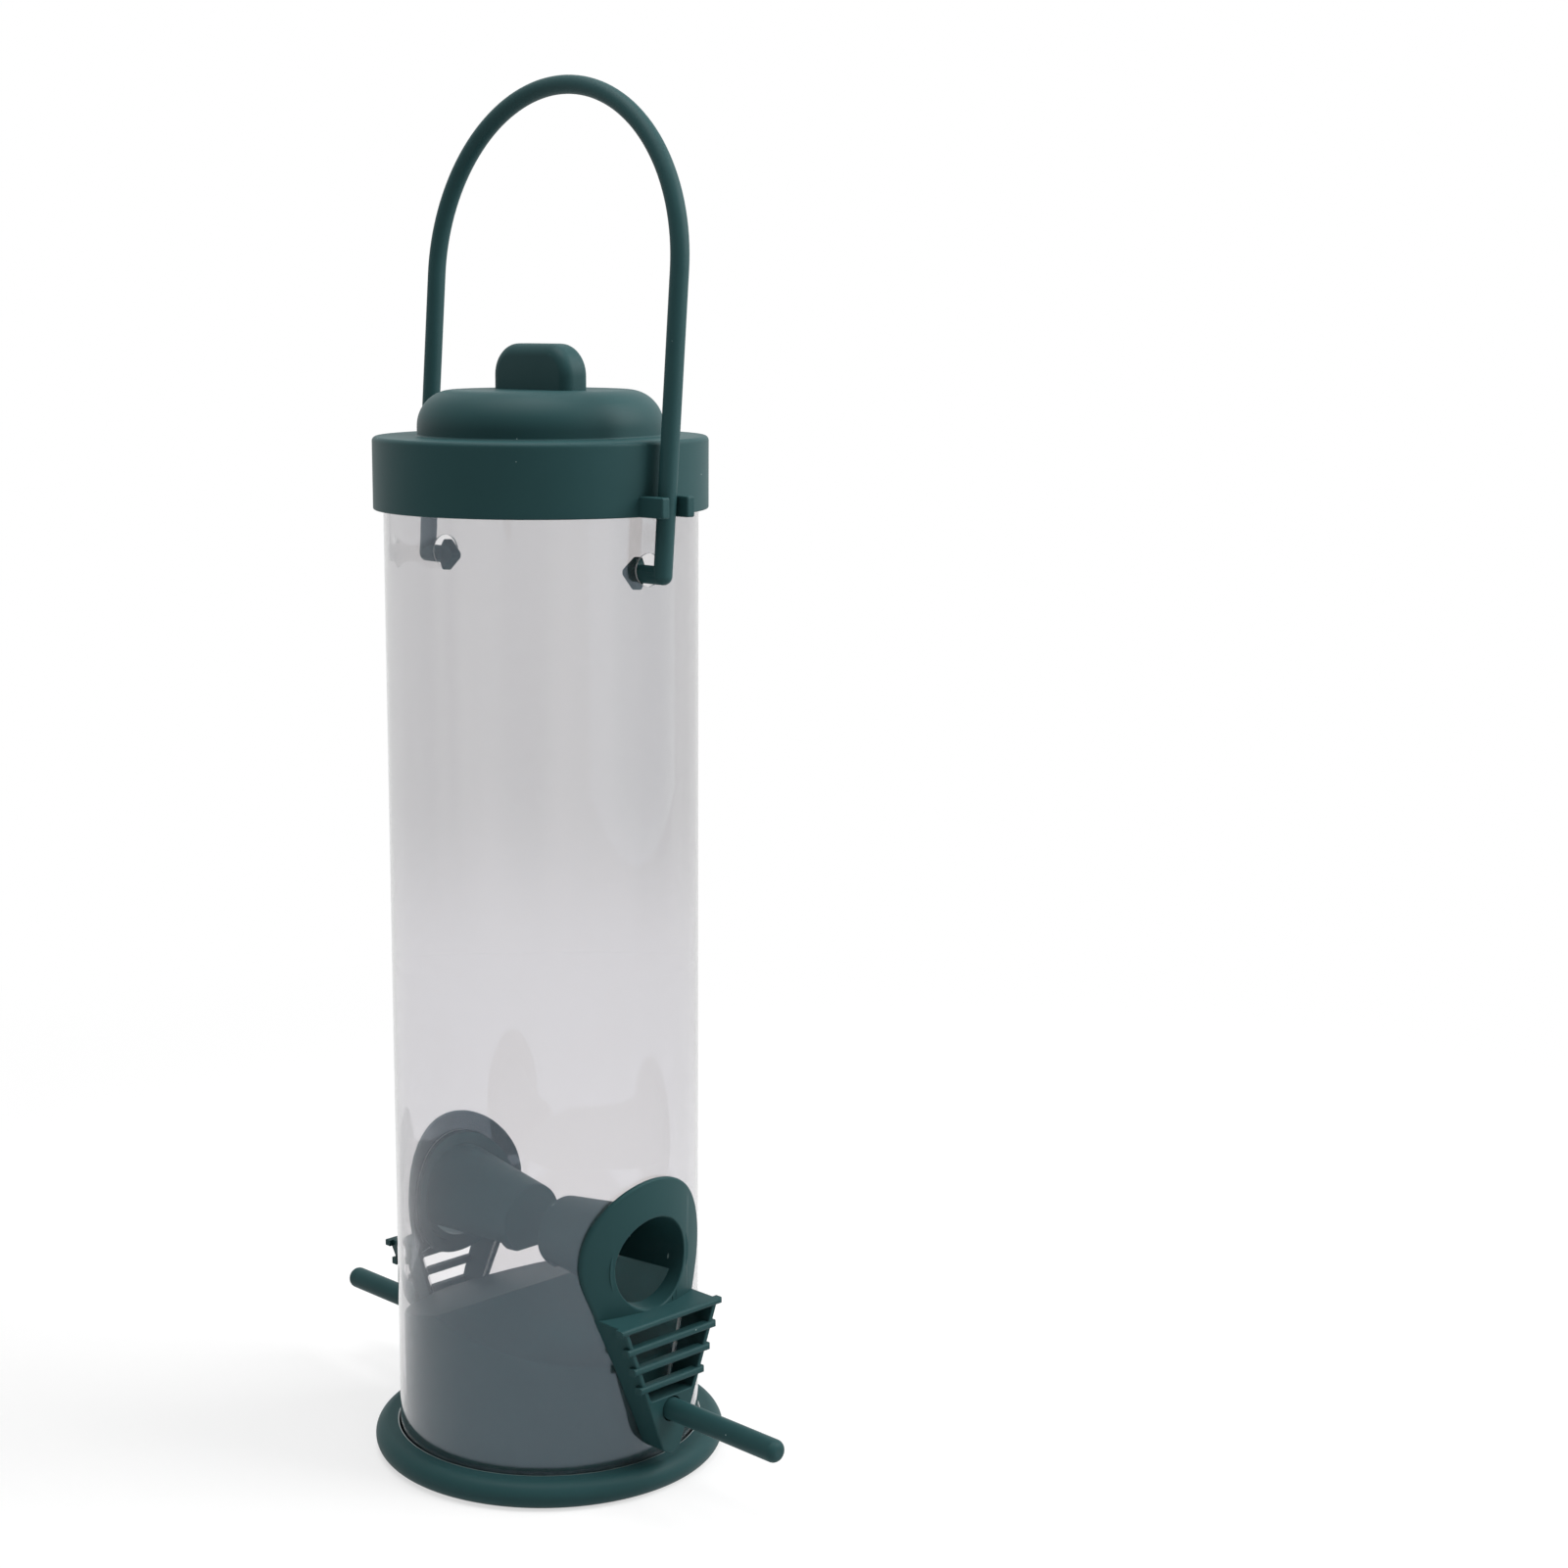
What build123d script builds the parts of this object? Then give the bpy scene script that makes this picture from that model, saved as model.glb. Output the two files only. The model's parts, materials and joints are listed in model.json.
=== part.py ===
from build123d import *
import math
import os

# Hanging tube feeder for bird seed: a clear tube on a moulded base, two feeding ports with perches,
# a lift-up lid and a bail handle. Millimetres, +Z up, origin at the middle of the base's underside.
# The two ports face -Y and +Y, and the bail stands in the same upright plane.

# Clear tube
TUBE_R = 30.0
TUBE_WALL = 0.6
TUBE_BOTTOM = 2.6
TUBE_TOP = 193.0
PORT_HOLE_R = 12.9
PEG_HOLE_R = 2.5
HOOK_HOLE_R = 3.1
HOOK_HOLE_Z = 178.0
WINDOW_LAP = 0.3

# Base: round rim, groove for the tube, hollow plug with a gable roof that sheds seed to the ports
RIM_R = 35.0
RIM_ROUND = 2.75
RIM_FLAT = 0.15
GROOVE_R = 30.3
GROOVE_FLOOR = 2.5
PLUG_R = 28.8
PLUG_WALL = 1.6
RIDGE_Z = 33.5
EAVES_Z = 25.0
SOCKET_R = 4.0
SOCKET_DEPTH = 9.0

# Feeding port: curved flange, spigot in the tube's hole, hood, shelf, barred cage and peg boss
PORT_Z = 45.0
MOUTH_R = 9.0
FLANGE_Z = 46.4
FLANGE_R = 15.4
FLANGE_INNER = TUBE_R + 0.1
FLANGE_OUTER = TUBE_R + 1.2
TOE_Z = 10.8
TOE_R = 2.8
SPIGOT_R = 12.7
SPIGOT_REACH = 28.3
HOOD_WALL = 1.2
HOOD_ROOT_R = 10.4
HOOD_TIP_R = 7.1
HOOD_TIP_Y = 4.8
SOLE_Y = 26.0
SOLE_DROP = 5.8
CHUTE_Y = 27.0
CHUTE_ANGLE = 35.0
CAGE_Y = 35.8
CAGE_WALL = 1.0
SHELF_Z = 36.0
SHELF_THICK = 1.2
SILL_Z = 19.8
BAR_HEIGHT = 1.4
BAR_DEPTH = 1.8
BAR_ROUND = 0.45
BAR_PROUD = 0.4
BAR_NUB = 1.0
BAR_LEVELS = (22.7, 26.9, 31.1)

# Perch peg
PERCH_R = 2.2
PERCH_Z = 17.0
PERCH_TIP = 64.5
PERCH_ROOT = 20.0
PERCH_TIP_ROUND = 1.5
PERCH_ROOT_BEVEL = 0.4
PEG_CLEARANCE = 0.05

# Lid: skirt round the tube's top, domed crown and a grip bar, with two slotted lugs for the bail
LID_R = 31.9
LID_BOTTOM = 188.0
LID_SHOULDER = 201.6
LID_BORE_R = 30.65
LID_SEAT_Z = TUBE_TOP + 0.8
LID_SEAT_R = 28.6
LID_WALL = 1.6
LID_EDGE_ROUND = 0.9
CROWN_R = 23.4
CROWN_TOP = 210.2
CROWN_ROUND = 6.8
GRIP_LENGTH = 21.6
GRIP_WIDTH = 6.4
GRIP_TOP = 218.8
GRIP_CORNER = 6.0
GRIP_ROUND = 2.2
LUG_Z = 189.8
LUG_HEIGHT = 3.8
LUG_THICK = 1.9
LUG_ROOT = LID_BORE_R + 0.7
LUG_TIP = 37.8
LUG_ROUND = 0.5
SLOT_WIDTH = 4.4

# Bail: round rod, an arch on two straight legs, and hook pins with barbs inside the tube
BAIL_ROD_R = 1.75
BAIL_SPREAD = 34.6
BAIL_LEG = 54.9
BAIL_LEAN = 4.4
BAIL_FOOT_ROUND = 1.6
HOOK_Z = 177.3
PIN_R = 1.7
BARB_ROOT = 28.6
BARB_WIDEST = 27.7
BARB_TIP = 24.6
BARB_HALF_HEIGHT = 3.2
BARB_TIP_HALF_HEIGHT = 0.5
BARB_THICK = 2.4

# Overlap that lets two forms of one moulding fuse, and a reach beyond the whole object for cuts
FUSE = 0.5
FAR = 100.0

GROW_UP = (Align.CENTER, Align.CENTER, Align.MIN)
HALF_TURN = Rot(0, 0, 180)


def rod_along_y(radius, y0, y1, z):
    """Round bar along Y from y0 to y1 at height z."""
    low, high = sorted((y0, y1))
    bar = extrude(Plane.XZ * Circle(radius), -(high - low))
    return Pos(0, low, z) * bar


def pillar(radius):
    """Tall upright cylinder about the tube's axis, to trim a piece to the tube's curve."""
    return Cylinder(radius, 4 * FAR)


def front_slab(outline):
    """Flat outline in X and Z, drawn out from the tube's axis to the front."""
    return extrude(Plane.XZ * outline, FAR)


def make_tube():
    """Clear extruded tube, punched for the ports, perch pegs and hooks, with windows behind the bars."""
    height = TUBE_TOP - TUBE_BOTTOM
    tube = Cylinder(TUBE_R, height, align=GROW_UP)
    tube -= Cylinder(TUBE_R - TUBE_WALL, height, align=GROW_UP)
    tube = Pos(0, 0, TUBE_BOTTOM) * tube
    holes = ((PORT_HOLE_R, PORT_Z), (PEG_HOLE_R, PERCH_Z), (HOOK_HOLE_R, HOOK_HOLE_Z))
    for radius, z in holes:
        tube -= rod_along_y(radius, -FAR, FAR, z)
    window = front_slab(bar_window(WINDOW_LAP))
    tube -= window
    return tube - HALF_TURN * window


def gable(radius, drop):
    """Plug body under a gable roof whose ridge runs along X, lowered by drop."""
    profile = Polyline(
        (-radius, -drop),
        (radius, -drop),
        (radius, EAVES_Z - drop),
        (0, RIDGE_Z - drop),
        (-radius, EAVES_Z - drop),
        close=True,
    )
    prism = extrude(Plane.YZ * make_face(profile), radius, both=True)
    return prism & pillar(radius)


def make_base():
    """Base moulding: rounded rim, tube groove, hollow gabled plug and two peg sockets."""
    rim_middle = RIM_R - RIM_ROUND
    rim_z = RIM_ROUND - RIM_FLAT
    rim = Pos(0, 0, rim_z) * Torus(rim_middle, RIM_ROUND)
    rim += Cylinder(rim_middle, rim_z + RIM_ROUND, align=GROW_UP)
    rim -= pillar(GROOVE_R)
    rim -= Pos(0, 0, -FAR) * Box(2 * FAR, 2 * FAR, 2 * FAR)
    floor = Cylinder(rim_middle, GROOVE_FLOOR, align=GROW_UP)
    hollow = gable(PLUG_R - PLUG_WALL, PLUG_WALL)
    base = gable(PLUG_R, 0) + floor + rim - hollow
    socket_mouth = PLUG_R - PLUG_WALL / 2
    socket = rod_along_y(SOCKET_R, -socket_mouth, SOCKET_DEPTH - socket_mouth, PERCH_Z)
    socket &= pillar(socket_mouth)
    base += socket
    base += HALF_TURN * socket
    return base - rod_along_y(PERCH_R + PEG_CLEARANCE, -FAR, FAR, PERCH_Z)


def side_lean():
    """Angle between the port's straight sides and the upright."""
    return math.asin((FLANGE_R - TOE_R) / (FLANGE_Z - TOE_Z))


def teardrop(inset=0.0):
    """Port outline: a large round above a small toe, joined by their common tangents."""
    big = FLANGE_R - inset
    small = TOE_R - inset
    reach = math.cos(side_lean())
    lift = -math.sin(side_lean())
    sides = Polyline(
        (big * reach, FLANGE_Z + big * lift),
        (-big * reach, FLANGE_Z + big * lift),
        (-small * reach, TOE_Z + small * lift),
        (small * reach, TOE_Z + small * lift),
        close=True,
    )
    return make_face(sides) + Pos(0, FLANGE_Z) * Circle(big) + Pos(0, TOE_Z) * Circle(small)


def half_width(z):
    """Half the width of the port's tapering cage at height z."""
    return (TOE_R + (z - TOE_Z) * math.sin(side_lean())) / math.cos(side_lean())


def band(z0, z1):
    """Wide flat strip from z0 to z1, to cut an outline to a height."""
    return Pos(0, (z0 + z1) / 2) * Rectangle(2 * FAR, z1 - z0)


def bar_window(lap=0.0):
    """Outline of the opening behind the port's bars, drawn in on its sides and foot by a lap."""
    return teardrop(CAGE_WALL + lap) & band(SILL_Z + lap, SHELF_Z - SHELF_THICK)


def block_below(z, y0, y1):
    """Block under height z from y0 to y1, to open a form underneath."""
    return Pos(0, (y0 + y1) / 2, z - FAR) * Box(2 * FAR, y1 - y0, 2 * FAR)


def make_hood():
    """Hooded chute behind the port's mouth: a closed cone, open underneath so that seed comes in."""
    length = FLANGE_INNER - HOOD_TIP_Y
    along_y = Pos(0, -(FLANGE_INNER + HOOD_TIP_Y) / 2, PORT_Z) * Rot(-90, 0, 0)
    cone = along_y * Cone(HOOD_ROOT_R, HOOD_TIP_R, length)
    bore = Cone(HOOD_ROOT_R - HOOD_WALL, HOOD_TIP_R - HOOD_WALL, length)
    cone -= along_y * Pos(0, 0, -HOOD_WALL) * bore
    sole = block_below(PORT_Z - SOLE_DROP, -SOLE_Y, 0)
    chute_top = PORT_Z - HOOD_TIP_R * math.sin(math.radians(CHUTE_ANGLE))
    chute = block_below(chute_top, -CHUTE_Y, -HOOD_TIP_Y - 2 * HOOD_WALL)
    return (cone & pillar(FLANGE_INNER + FUSE)) - sole - chute


def make_port():
    """Front feeding port, one moulding, fixed to the tube by its perch peg."""
    flange = front_slab(teardrop()) & (pillar(FLANGE_OUTER) - pillar(FLANGE_INNER))
    cage = front_slab(teardrop() & band(0, SHELF_Z)) - pillar(FLANGE_INNER)
    cage -= Pos(0, -CAGE_Y - FAR, 0) * Box(2 * FAR, 2 * FAR, 4 * FAR)
    port = flange + cage - front_slab(bar_window())
    bar_y = BAR_DEPTH / 2 - BAR_PROUD - CAGE_Y
    ledges = [(z, BAR_HEIGHT) for z in BAR_LEVELS]
    ledges.append((SHELF_Z - SHELF_THICK / 2, SHELF_THICK))
    for z, height in ledges:
        bar = Box(2 * (half_width(z) + BAR_NUB), BAR_DEPTH, height)
        front_edges = bar.edges().filter_by(Axis.X).sort_by(Axis.Y)[:2]
        port += Pos(0, bar_y, z) * fillet(front_edges, BAR_ROUND)
    spigot = rod_along_y(SPIGOT_R, -FAR, 0, PORT_Z)
    port += spigot & (pillar(FLANGE_INNER + FUSE) - pillar(SPIGOT_REACH))
    port -= rod_along_y(MOUTH_R, -FAR, 0, PORT_Z)
    port += make_hood()
    return port - rod_along_y(PERCH_R + PEG_CLEARANCE, -FAR, 0, PERCH_Z)


def make_perch():
    """Perch peg: a plain rod with a rounded tip, pushed through boss, tube and base socket."""
    peg = rod_along_y(PERCH_R, -PERCH_TIP, -PERCH_ROOT, PERCH_Z)
    peg = fillet(peg.edges().sort_by(Axis.Y)[0], PERCH_TIP_ROUND)
    return chamfer(peg.edges().sort_by(Axis.Y)[-1], PERCH_ROOT_BEVEL)


def make_grip():
    """Grip bar on the crown: an upright plate with round corners, rounded over along both sides."""
    sunk = CROWN_TOP - FUSE
    outline = RectangleRounded(GRIP_LENGTH, 2 * (GRIP_TOP - sunk), GRIP_CORNER)
    bar = extrude(Plane.YZ * outline, GRIP_WIDTH / 2, both=True)
    side_faces = bar.faces().filter_by(Axis.X)
    bar = fillet(side_faces.edges(), GRIP_ROUND)
    bar -= Pos(0, 0, -FAR) * Box(2 * FAR, 2 * FAR, 2 * FAR)
    return Pos(0, 0, sunk) * bar


def make_prong(hand):
    """One lug prong beside the bail's front leg, on the skirt's bottom edge."""
    prong = Box(LUG_THICK, LUG_TIP - LUG_ROOT, LUG_HEIGHT)
    prong = fillet(prong.edges().filter_by(Axis.Z).sort_by(Axis.Y)[:2], LUG_ROUND)
    x = hand * (SLOT_WIDTH + LUG_THICK) / 2
    return Pos(x, -(LUG_TIP + LUG_ROOT) / 2, LUG_Z) * prong


def make_lid():
    """Lid moulding: stepped skirt, domed crown, grip bar and two pairs of lug prongs."""
    ceiling = LID_SHOULDER - LID_WALL
    inner_r = CROWN_R - LID_WALL
    inner_top = CROWN_TOP - LID_WALL
    profile = Polyline(
        (0, CROWN_TOP),
        (CROWN_R, CROWN_TOP),
        (CROWN_R, LID_SHOULDER),
        (LID_R, LID_SHOULDER),
        (LID_R, LID_BOTTOM),
        (LID_BORE_R, LID_BOTTOM),
        (LID_BORE_R, LID_SEAT_Z),
        (LID_SEAT_R, LID_SEAT_Z),
        (LID_SEAT_R, ceiling),
        (inner_r, ceiling),
        (inner_r, inner_top),
        (0, inner_top),
        close=True,
    )
    section = make_face(profile)
    rounds = (
        (CROWN_R, CROWN_TOP, CROWN_ROUND),
        (inner_r, inner_top, CROWN_ROUND - LID_WALL),
        (LID_R, LID_SHOULDER, LID_EDGE_ROUND),
    )
    for r, z, radius in rounds:
        corner = section.vertices().sort_by_distance((r, z, 0))[0]
        section = fillet(corner, radius)
    lid = revolve(Plane.XZ * section, Axis.Z) + make_grip()
    for hand in (-1, 1):
        prong = make_prong(hand)
        lid += prong
        lid += HALF_TURN * prong
    return lid


def make_bail():
    """Bail handle: swept arch and legs, hook pins with flat barbs, leaning in the lid's lugs."""
    foot_z = -PIN_R
    path = Line((0, -BAIL_SPREAD, foot_z), (0, -BAIL_SPREAD, BAIL_LEG))
    path += ThreePointArc(
        (0, -BAIL_SPREAD, BAIL_LEG),
        (0, 0, BAIL_LEG + BAIL_SPREAD),
        (0, BAIL_SPREAD, BAIL_LEG),
    )
    path += Line((0, BAIL_SPREAD, BAIL_LEG), (0, BAIL_SPREAD, foot_z))
    bail = sweep(Plane((0, -BAIL_SPREAD, foot_z)) * Circle(BAIL_ROD_R), path=path)
    bail = fillet(bail.edges().filter_by(GeomType.CIRCLE).group_by(Axis.Z)[0], BAIL_FOOT_ROUND)
    barb = Polyline(
        (-BARB_ROOT, -PIN_R),
        (-BARB_WIDEST, -BARB_HALF_HEIGHT),
        (-BARB_TIP, -BARB_TIP_HALF_HEIGHT),
        (-BARB_TIP, BARB_TIP_HALF_HEIGHT),
        (-BARB_WIDEST, BARB_HALF_HEIGHT),
        (-BARB_ROOT, PIN_R),
        close=True,
    )
    hook = rod_along_y(PIN_R, -BAIL_SPREAD, -BARB_WIDEST, 0)
    hook += extrude(Plane.YZ * make_face(barb), BARB_THICK / 2, both=True)
    bail += hook
    bail += HALF_TURN * hook
    shift = (LUG_Z - HOOK_Z) * math.tan(math.radians(BAIL_LEAN))
    return Pos(-shift, 0, HOOK_Z) * Rot(0, BAIL_LEAN, 0) * bail


def main():
    port = make_port()
    perch = make_perch()
    pieces = {
        "base": make_base(),
        "tube": make_tube(),
        "front_port": port,
        "rear_port": HALF_TURN * port,
        "front_perch": perch,
        "rear_perch": HALF_TURN * perch,
        "lid": make_lid(),
        "bail": make_bail(),
    }
    os.makedirs("parts", exist_ok=True)
    for name, piece in pieces.items():
        export_step(piece, f"parts/{name}.step")


main()
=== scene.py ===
import json
import math

import bpy
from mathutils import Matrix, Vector


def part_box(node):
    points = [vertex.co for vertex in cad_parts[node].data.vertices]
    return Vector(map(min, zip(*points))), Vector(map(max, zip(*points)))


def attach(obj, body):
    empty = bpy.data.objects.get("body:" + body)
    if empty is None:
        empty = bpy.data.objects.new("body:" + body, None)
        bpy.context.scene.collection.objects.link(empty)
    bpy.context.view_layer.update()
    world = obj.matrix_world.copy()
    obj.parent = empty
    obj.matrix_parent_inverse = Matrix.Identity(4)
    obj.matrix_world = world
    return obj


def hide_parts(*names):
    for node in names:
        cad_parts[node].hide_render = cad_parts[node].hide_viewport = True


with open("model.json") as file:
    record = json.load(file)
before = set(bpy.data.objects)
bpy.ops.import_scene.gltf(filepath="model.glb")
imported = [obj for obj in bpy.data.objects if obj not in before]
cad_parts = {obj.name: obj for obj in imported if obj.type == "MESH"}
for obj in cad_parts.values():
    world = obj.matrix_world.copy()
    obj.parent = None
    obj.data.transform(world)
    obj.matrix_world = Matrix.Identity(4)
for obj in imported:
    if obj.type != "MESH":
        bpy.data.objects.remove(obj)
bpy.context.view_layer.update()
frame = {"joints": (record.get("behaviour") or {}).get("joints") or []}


# Base. One injection moulding in dark green polypropylene: a rounded rim that it stands on, a groove
# for the tube's lower end, and a hollow plug whose gable roof sheds the seed to both ports. Two
# sockets under the roof hold the perch pegs.
MM = 0.001
WELD = 0.002 * MM
TURN_STEPS = 160
ROUND_STEPS = 8

_, base_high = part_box("base")
peg_low, peg_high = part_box("front_perch")
rim_radius = base_high.x
ridge_z = base_high.z
rim_round = 2.75 * MM
rim_centre_z = 2.6 * MM
rim_steps = 24
groove_radius = 30.3 * MM
groove_floor = 2.5 * MM
groove_lip = 0.25 * MM
lip_steps = 4
plug_radius = 28.8 * MM
plug_wall = 1.6 * MM
eaves_z = 25.0 * MM
eaves_round = 0.45 * MM
eaves_angle = 15
socket_radius = 4.0 * MM
socket_depth = 9.0 * MM
peg_z = (peg_low.z + peg_high.z) / 2
peg_radius = peg_high.x
peg_gap = 0.15 * MM
hole_end = 1.0 * MM


def arc(r, z, radius, start, end, steps=ROUND_STEPS):
    """Points of a rounded corner in a half section, about (r, z), from one angle to another."""
    turns = [math.radians(start + (end - start) * i / steps) for i in range(steps + 1)]
    return [(r + radius * math.cos(a), z + radius * math.sin(a)) for a in turns]


def place_in_mesh(piece, name):
    """Names a piece, and puts its place, turn and size into its mesh."""
    piece.name = name
    piece.data.name = name
    bpy.ops.object.select_all(action="DESELECT")
    piece.select_set(True)
    bpy.context.view_layer.objects.active = piece
    bpy.ops.object.transform_apply(location=True, rotation=True, scale=True)
    return piece


def drawn_line(points):
    """Starts a mesh, in edit mode, with one line that is drawn by extruding a vertex."""
    bpy.ops.object.select_all(action="DESELECT")
    bpy.ops.mesh.primitive_plane_add(size=MM, location=points[0])
    piece = bpy.context.object
    bpy.ops.object.mode_set(mode="EDIT")
    bpy.ops.mesh.merge(type="CENTER")
    for here, there in zip(points, points[1:]):
        step = Vector(there) - Vector(here)
        bpy.ops.mesh.extrude_region_move(TRANSFORM_OT_translate={"value": step})
    bpy.ops.mesh.select_all(action="SELECT")
    return piece


def turned(name, section):
    """Round form about Z: a half section spun to a full turn."""
    piece = drawn_line([(r, 0, z) for r, z in section])
    bpy.ops.mesh.spin(steps=TURN_STEPS, angle=math.tau, center=(0, 0, 0), axis=(0, 0, 1))
    bpy.ops.mesh.select_all(action="SELECT")
    bpy.ops.mesh.remove_doubles(threshold=WELD)
    bpy.ops.mesh.normals_make_consistent(inside=False)
    bpy.ops.object.mode_set(mode="OBJECT")
    return place_in_mesh(piece, name)


def rod_along_y(name, radius, y0, y1, z, sides=64):
    """Round bar along Y, for pegs and for the holes that take them."""
    bpy.ops.object.select_all(action="DESELECT")
    bpy.ops.mesh.primitive_cylinder_add(
        vertices=sides,
        radius=radius,
        depth=abs(y1 - y0),
        location=(0, (y0 + y1) / 2, z),
        rotation=(math.pi / 2, 0, 0),
    )
    return place_in_mesh(bpy.context.object, name)


def apply_modifier(piece, kind, **settings):
    """Adds one modifier to a piece and applies it at once."""
    bpy.ops.object.select_all(action="DESELECT")
    piece.select_set(True)
    bpy.context.view_layer.objects.active = piece
    change = piece.modifiers.new("change", kind)
    for key, value in settings.items():
        setattr(change, key, value)
    bpy.ops.object.modifier_apply(modifier=change.name)


def combine(piece, tool, operation):
    """Joins, cuts or trims a piece with a second form, which is used up."""
    apply_modifier(piece, "BOOLEAN", operation=operation, object=tool, solver="EXACT")
    bpy.data.meshes.remove(tool.data)
    return piece


def soften(piece, width, steps=3, angle=50):
    """Rounds every edge sharper than the angle, as a mould's edges are."""
    apply_modifier(
        piece,
        "BEVEL",
        width=width,
        segments=steps,
        limit_method="ANGLE",
        angle_limit=math.radians(angle),
        use_clamp_overlap=True,
        miter_outer="MITER_ARC",
    )
    return piece


def shade(piece, angle=32):
    """Smooth shading that keeps edges over the angle crisp, and large faces even."""
    bpy.ops.object.select_all(action="DESELECT")
    piece.select_set(True)
    bpy.context.view_layer.objects.active = piece
    bpy.ops.object.shade_smooth_by_angle(angle=math.radians(angle))
    apply_modifier(piece, "WEIGHTED_NORMAL", keep_sharp=True)


def gabled_plug(name, radius, drop):
    """Upright plug under a gable roof: a cylinder cut by the two roof planes."""
    bpy.ops.object.select_all(action="DESELECT")
    bpy.ops.mesh.primitive_cylinder_add(
        vertices=TURN_STEPS,
        radius=radius,
        depth=ridge_z,
        location=(0, 0, ridge_z / 2 - drop),
    )
    piece = bpy.context.object
    pitch = math.atan2(ridge_z - eaves_z, radius)
    bpy.ops.object.mode_set(mode="EDIT")
    for side in (-1, 1):
        bpy.ops.mesh.select_all(action="SELECT")
        bpy.ops.mesh.bisect(
            plane_co=(0, 0, ridge_z - drop),
            plane_no=(0, side * math.sin(pitch), math.cos(pitch)),
            use_fill=True,
            clear_outer=True,
        )
    bpy.ops.object.mode_set(mode="OBJECT")
    place_in_mesh(piece, name)
    return soften(piece, eaves_round, angle=eaves_angle)


rim_centre = rim_radius - rim_round
rim_top = rim_centre_z + rim_round
flat_angle = math.degrees(math.asin(-rim_centre_z / rim_round))
plug_middle = plug_radius - plug_wall / 2
rim_section = [(plug_middle, 0)]
rim_section += arc(rim_centre, rim_centre_z, rim_round, flat_angle, 90, rim_steps)
lip_z = rim_top - groove_lip
rim_section += arc(groove_radius + groove_lip, lip_z, groove_lip, 90, 180, lip_steps)
rim_section += [(groove_radius, groove_floor), (plug_middle, groove_floor), rim_section[0]]
base = turned("base_moulding", rim_section)
combine(base, gabled_plug("plug", plug_radius, 0), "UNION")
combine(base, gabled_plug("plug_hollow", plug_radius - plug_wall, plug_wall), "DIFFERENCE")
for side in (-1, 1):
    socket_end = side * (plug_middle - socket_depth)
    socket = rod_along_y("socket", socket_radius, side * plug_middle, socket_end, peg_z)
    combine(base, socket, "UNION")
    hole = rod_along_y("socket_hole", peg_radius + peg_gap, side * rim_radius, side * hole_end, peg_z)
    combine(base, hole, "DIFFERENCE")
shade(base)


def linear(colour):
    """An sRGB hex colour as linear values with full alpha."""
    parts = [int(colour[i : i + 2], 16) / 255 for i in (1, 3, 5)]
    return [c / 12.92 if c <= 0.04045 else ((c + 0.055) / 1.055) ** 2.4 for c in parts] + [1]


def add_node(tree, kind, inputs, **settings):
    """Adds a node to a tree, with its settings, and its inputs set or linked."""
    node = tree.nodes.new(kind)
    for key, value in settings.items():
        setattr(node, key, value)
    for key, value in inputs.items():
        if isinstance(value, bpy.types.NodeSocket):
            tree.links.new(value, node.inputs[key])
        else:
            node.inputs[key].default_value = value
    return node


def new_material(name):
    """An empty material with its tree, its output and the object's own coordinates."""
    material = bpy.data.materials.new(name)
    material.use_nodes = True
    tree = material.node_tree
    tree.nodes.clear()
    coordinates = add_node(tree, "ShaderNodeTexCoord", {})
    output = add_node(tree, "ShaderNodeOutputMaterial", {})
    return material, tree, coordinates.outputs["Object"], output


def scattered_marks(tree, place, spacing, size, share, stretch=(1, 1, 1)):
    """Mask of small marks: one in each cell of the spacing, kept in a share of the cells."""
    crisp_part = 0.6
    scaled = add_node(tree, "ShaderNodeMapping", {"Vector": place, "Scale": stretch})
    cells = add_node(
        tree,
        "ShaderNodeTexVoronoi",
        {"Vector": scaled.outputs["Vector"], "Scale": 1 / spacing},
    )
    chance = add_node(tree, "ShaderNodeSeparateColor", {"Color": cells.outputs["Color"]})
    kept = add_node(
        tree,
        "ShaderNodeMath",
        {0: chance.outputs["Red"], 1: share},
        operation="LESS_THAN",
    )
    return add_node(
        tree,
        "ShaderNodeMapRange",
        {
            "Value": cells.outputs["Distance"],
            "From Min": size / spacing,
            "From Max": crisp_part * size / spacing,
            "To Max": kept.outputs["Value"],
        },
    )


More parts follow.
